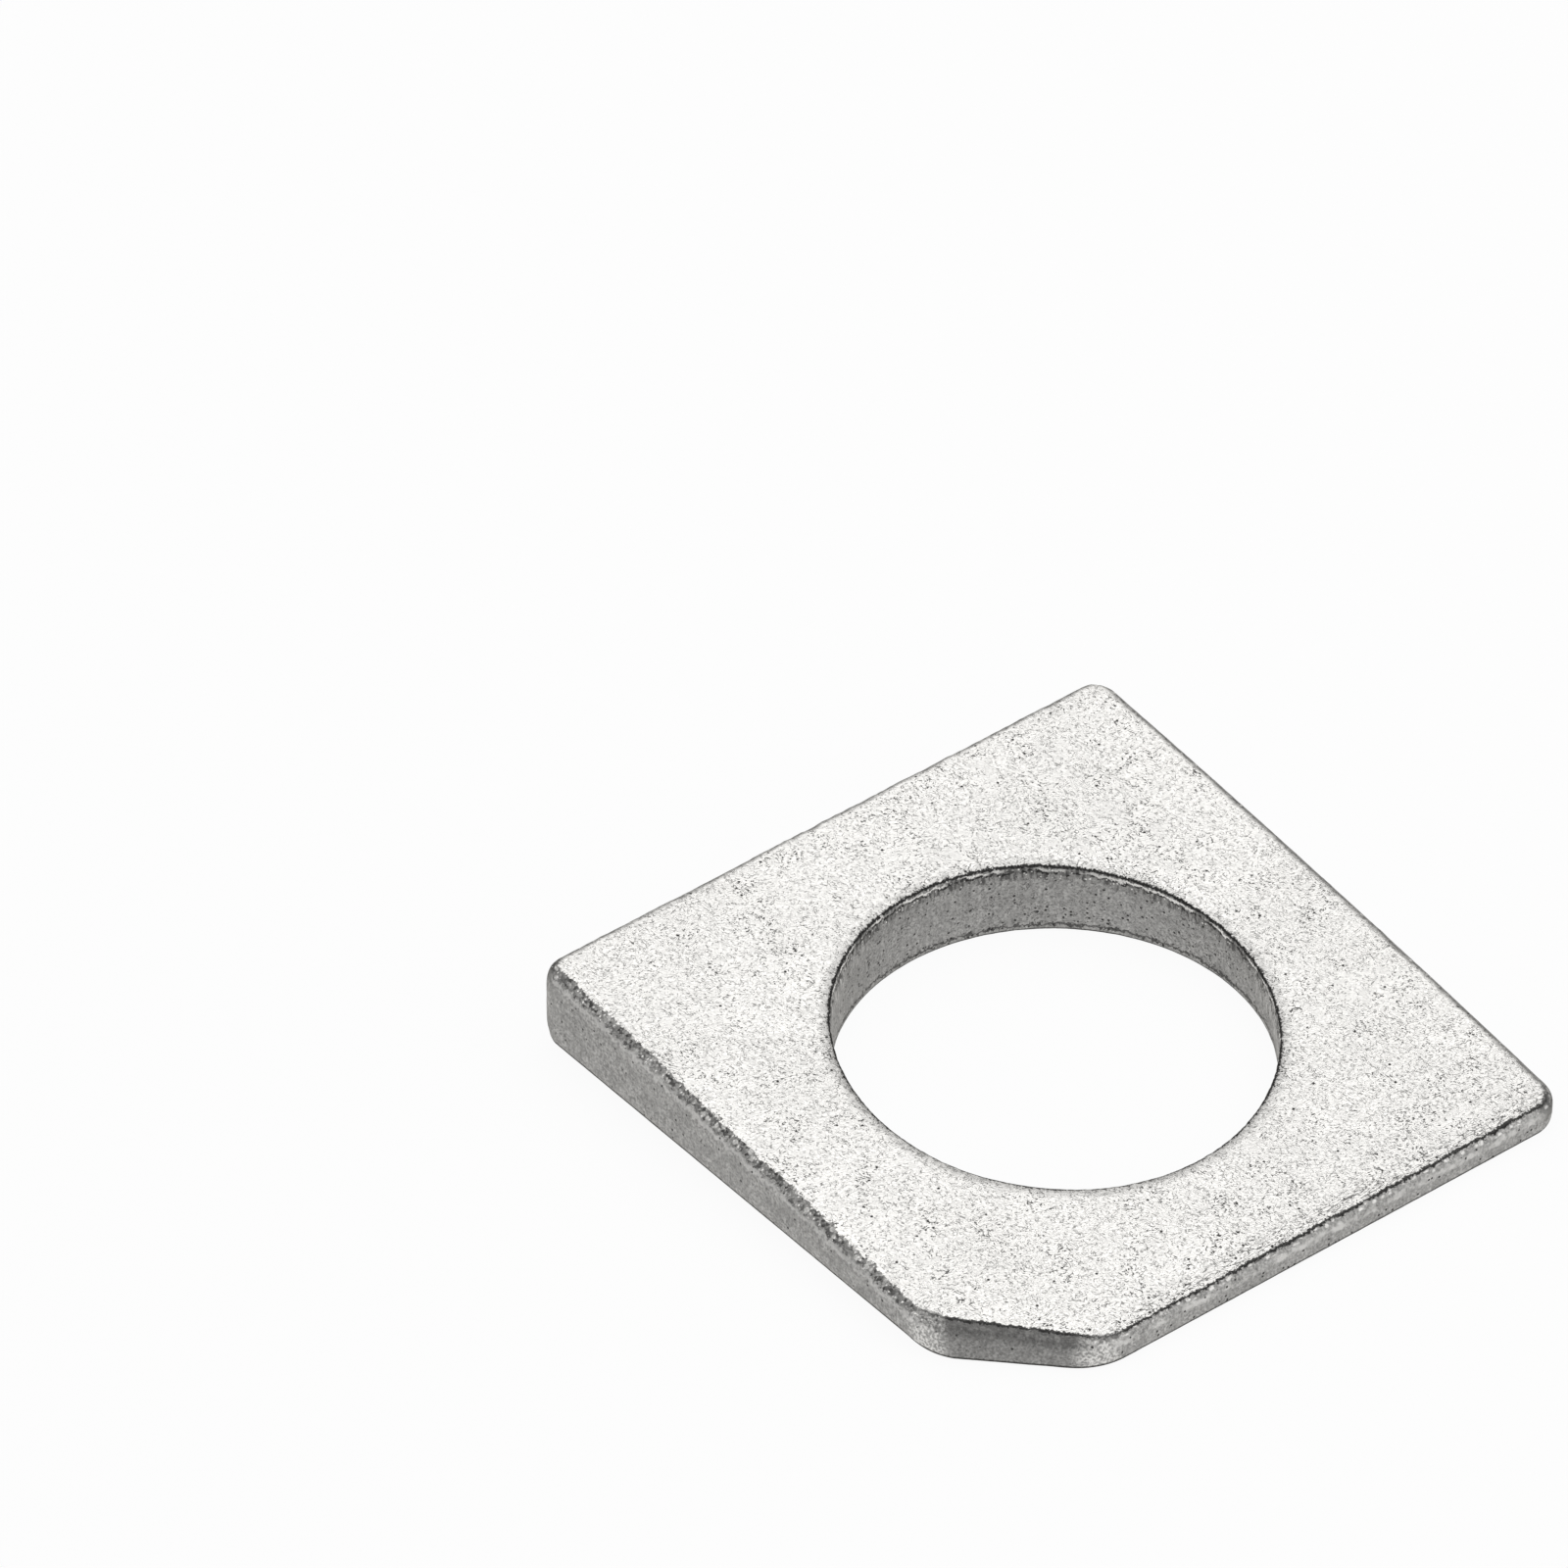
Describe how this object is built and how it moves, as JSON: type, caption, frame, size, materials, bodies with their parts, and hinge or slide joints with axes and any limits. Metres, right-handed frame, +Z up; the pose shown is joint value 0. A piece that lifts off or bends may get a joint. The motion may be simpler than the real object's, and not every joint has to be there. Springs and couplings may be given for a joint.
{
  "type": "square beveled washer",
  "caption": "Square steel washer that tapers from a thick edge to a thin one, with a bolt hole and a cut corner, for bolting on sloping flanges.",
  "frame": {"origin": "in the plane of the flat bottom face, at the middle of the blank's length and width", "axes": "+X down the slope from the thick edge to the thin edge, +Y towards the side nearer to the hole, +Z up through the hole; the cut corner is at +X, -Y"},
  "size_m": [0.05, 0.049, 0.007],
  "materials": {
    "zinc_plated_steel": "bright zinc plating over sheared and punched steel, satin, with a fine pebbled grain and small dark pits"
  },
  "bodies": {
    "root": {"taper_washer": "zinc_plated_steel"}
  },
  "joints": []
}
